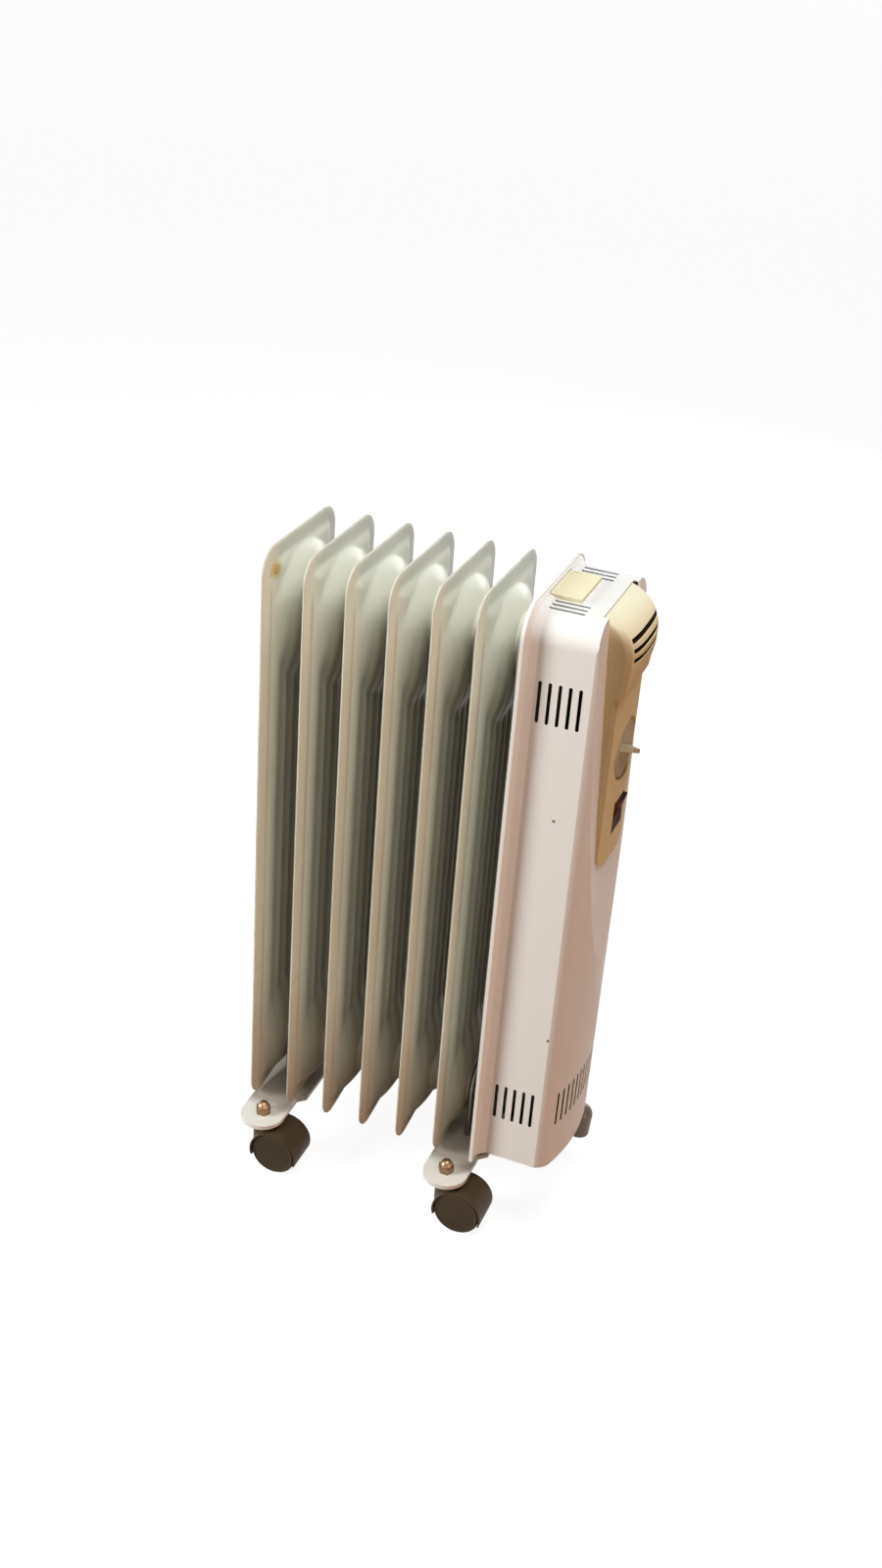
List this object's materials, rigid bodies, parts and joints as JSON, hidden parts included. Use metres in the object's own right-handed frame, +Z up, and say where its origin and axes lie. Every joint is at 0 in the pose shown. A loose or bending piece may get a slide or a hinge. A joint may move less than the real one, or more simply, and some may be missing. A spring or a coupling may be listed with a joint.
{
  "type": "electric radiator",
  "caption": "Free-standing oil-filled electric radiator with pressed fins, a control box with thermostat dial and rocker switches at one end, and twin-wheel casters.",
  "frame": {"origin": "on the floor under the middle of the bounding box", "axes": "+X along the row of fins towards the control box, +Y across the fins, +Z up"},
  "size_m": [0.3242, 0.21, 0.623],
  "materials": {
    "fin_enamel": "gloss ivory enamel",
    "box_paint": "gloss white paint",
    "bracket_paint": "gloss white paint",
    "panel_plastic": "cream moulded plastic, satin",
    "knob_plastic": "cream moulded plastic, satin",
    "rocker_red": "translucent red",
    "rocker_dark": "black",
    "caster_plastic": "dark olive-brown moulded plastic",
    "wheel_plastic": "dark olive-brown moulded plastic",
    "dark_plastic": "dark moulded plastic",
    "bright_steel": "bright zinc plate",
    "dull_steel": "dull zinc plate",
    "nut_steel": "yellowed zinc plate",
    "inner_steel": "plain steel",
    "inner_plastic": "black moulded plastic"
  },
  "bodies": {
    "frame": {"fin_1": "fin_enamel", "fin_2": "fin_enamel", "fin_3": "fin_enamel", "fin_4": "fin_enamel", "fin_5": "fin_enamel", "fin_6": "fin_enamel", "fin_7": "fin_enamel", "box_back_plate": "box_paint", "box_shell": "box_paint", "box_floor": "inner_steel", "box_screws": "bright_steel", "cord_gland": "dark_plastic", "control_panel": "panel_plastic", "top_cover": "panel_plastic", "thermostat": "inner_plastic", "rocker_pivot": "bright_steel", "switch_housing": "inner_plastic", "element_flange": "inner_steel", "heating_element": "inner_steel", "oil_filler_plug": "inner_steel", "thermal_cutout": "bright_steel", "terminal_block": "inner_plastic", "rear_bracket": "bracket_paint", "rear_u_bolt": "dull_steel", "front_bracket": "bracket_paint", "front_u_bolt": "dull_steel", "wing_nuts": "dull_steel", "dome_nuts": "nut_steel", "caster_stems": "bright_steel"},
    "thermostat_dial": {"thermostat_knob": "knob_plastic", "thermostat_shaft": "bright_steel"},
    "rocker_near": {"rocker_near": "rocker_red"},
    "rocker_far": {"rocker_far": "rocker_dark"},
    "caster_rear_near": {"caster_hood_rear_near": "caster_plastic", "caster_axle_rear_near": "bright_steel"},
    "wheel_rear_near_a": {"caster_wheel_rear_near_a": "wheel_plastic"},
    "wheel_rear_near_b": {"caster_wheel_rear_near_b": "wheel_plastic"},
    "caster_rear_far": {"caster_hood_rear_far": "caster_plastic", "caster_axle_rear_far": "bright_steel"},
    "wheel_rear_far_a": {"caster_wheel_rear_far_a": "wheel_plastic"},
    "wheel_rear_far_b": {"caster_wheel_rear_far_b": "wheel_plastic"},
    "caster_front_near": {"caster_hood_front_near": "caster_plastic", "caster_axle_front_near": "bright_steel"},
    "wheel_front_near_a": {"caster_wheel_front_near_a": "wheel_plastic"},
    "wheel_front_near_b": {"caster_wheel_front_near_b": "wheel_plastic"},
    "caster_front_far": {"caster_hood_front_far": "caster_plastic", "caster_axle_front_far": "bright_steel"},
    "wheel_front_far_a": {"caster_wheel_front_far_a": "wheel_plastic"},
    "wheel_front_far_b": {"caster_wheel_front_far_b": "wheel_plastic"}
  },
  "joints": [
    {"name": "thermostat_turn", "type": "hinge", "parent": "frame", "child": "thermostat_dial", "pos_m": [0.14825, 0, 0.485], "axis": [1, 0, 0], "range_deg": [-135, 135]},
    {"name": "rocker_near_tip", "type": "hinge", "parent": "frame", "child": "rocker_near", "pos_m": [0.1472, -0.007, 0.424], "axis": [0, 1, 0], "range_deg": [-14, 0]},
    {"name": "rocker_far_tip", "type": "hinge", "parent": "frame", "child": "rocker_far", "pos_m": [0.1472, 0.007, 0.424], "axis": [0, 1, 0], "range_deg": [-14, 0]},
    {"name": "swivel_rear_near", "type": "hinge", "parent": "frame", "child": "caster_rear_near", "pos_m": [-0.13135, -0.083, 0.046], "axis": [0, 0, 1], "continuous": true},
    {"name": "roll_rear_near_a", "type": "hinge", "parent": "caster_rear_near", "child": "wheel_rear_near_a", "pos_m": [-0.11285, -0.0942, 0.022], "axis": [0, 1, 0], "continuous": true},
    {"name": "roll_rear_near_b", "type": "hinge", "parent": "caster_rear_near", "child": "wheel_rear_near_b", "pos_m": [-0.11285, -0.0718, 0.022], "axis": [0, 1, 0], "continuous": true},
    {"name": "swivel_rear_far", "type": "hinge", "parent": "frame", "child": "caster_rear_far", "pos_m": [-0.13135, 0.083, 0.046], "axis": [0, 0, 1], "continuous": true},
    {"name": "roll_rear_far_a", "type": "hinge", "parent": "caster_rear_far", "child": "wheel_rear_far_a", "pos_m": [-0.11285, 0.0718, 0.022], "axis": [0, 1, 0], "continuous": true},
    {"name": "roll_rear_far_b", "type": "hinge", "parent": "caster_rear_far", "child": "wheel_rear_far_b", "pos_m": [-0.11285, 0.0942, 0.022], "axis": [0, 1, 0], "continuous": true},
    {"name": "swivel_front_near", "type": "hinge", "parent": "frame", "child": "caster_front_near", "pos_m": [0.05665, -0.083, 0.046], "axis": [0, 0, 1], "continuous": true},
    {"name": "roll_front_near_a", "type": "hinge", "parent": "caster_front_near", "child": "wheel_front_near_a", "pos_m": [0.07515, -0.0942, 0.022], "axis": [0, 1, 0], "continuous": true},
    {"name": "roll_front_near_b", "type": "hinge", "parent": "caster_front_near", "child": "wheel_front_near_b", "pos_m": [0.07515, -0.0718, 0.022], "axis": [0, 1, 0], "continuous": true},
    {"name": "swivel_front_far", "type": "hinge", "parent": "frame", "child": "caster_front_far", "pos_m": [0.05665, 0.083, 0.046], "axis": [0, 0, 1], "continuous": true},
    {"name": "roll_front_far_a", "type": "hinge", "parent": "caster_front_far", "child": "wheel_front_far_a", "pos_m": [0.07515, 0.0718, 0.022], "axis": [0, 1, 0], "continuous": true},
    {"name": "roll_front_far_b", "type": "hinge", "parent": "caster_front_far", "child": "wheel_front_far_b", "pos_m": [0.07515, 0.0942, 0.022], "axis": [0, 1, 0], "continuous": true}
  ]
}
